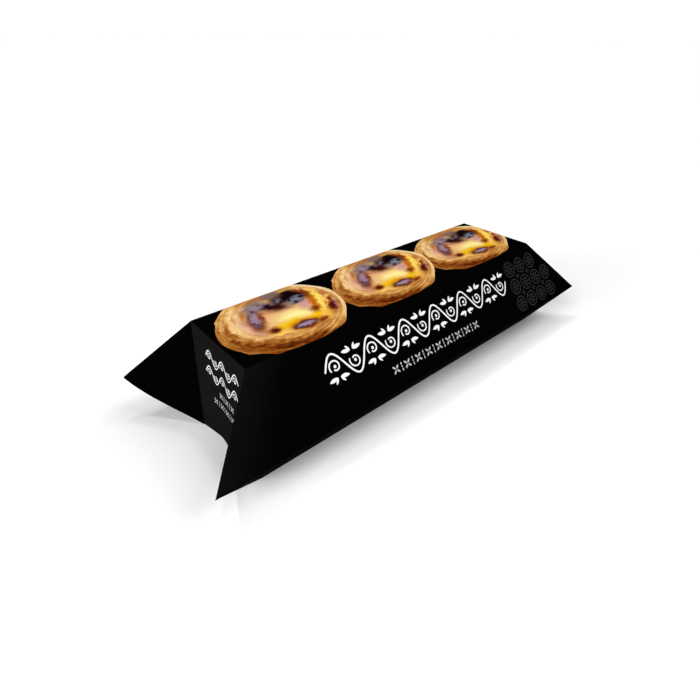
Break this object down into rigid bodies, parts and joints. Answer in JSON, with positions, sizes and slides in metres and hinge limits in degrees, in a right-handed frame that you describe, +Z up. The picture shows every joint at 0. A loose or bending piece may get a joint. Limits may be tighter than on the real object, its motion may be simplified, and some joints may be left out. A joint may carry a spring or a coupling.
{
  "type": "carton of custard tarts",
  "caption": "Long shut carton of folded black board for egg custard tarts: narrow flat top, slanted sides, pointed wings and folded-in ends.",
  "frame": {"origin": "on the ground, under the middle of the base", "axes": "+X along the carton, +Y from the front panel to the back panel, +Z up; the front is the side where the row of tart pictures on the top stands upright"},
  "size_m": [0.324, 0.118, 0.0652],
  "materials": {
    "board": "satin black varnished board",
    "picture_print": "satin colour print on board",
    "pale_print": "satin white print on board",
    "grey_print": "satin light grey print on board",
    "dim_print": "satin dark grey print on board"
  },
  "bodies": {
    "root": {"carton": "board"}
  },
  "joints": []
}
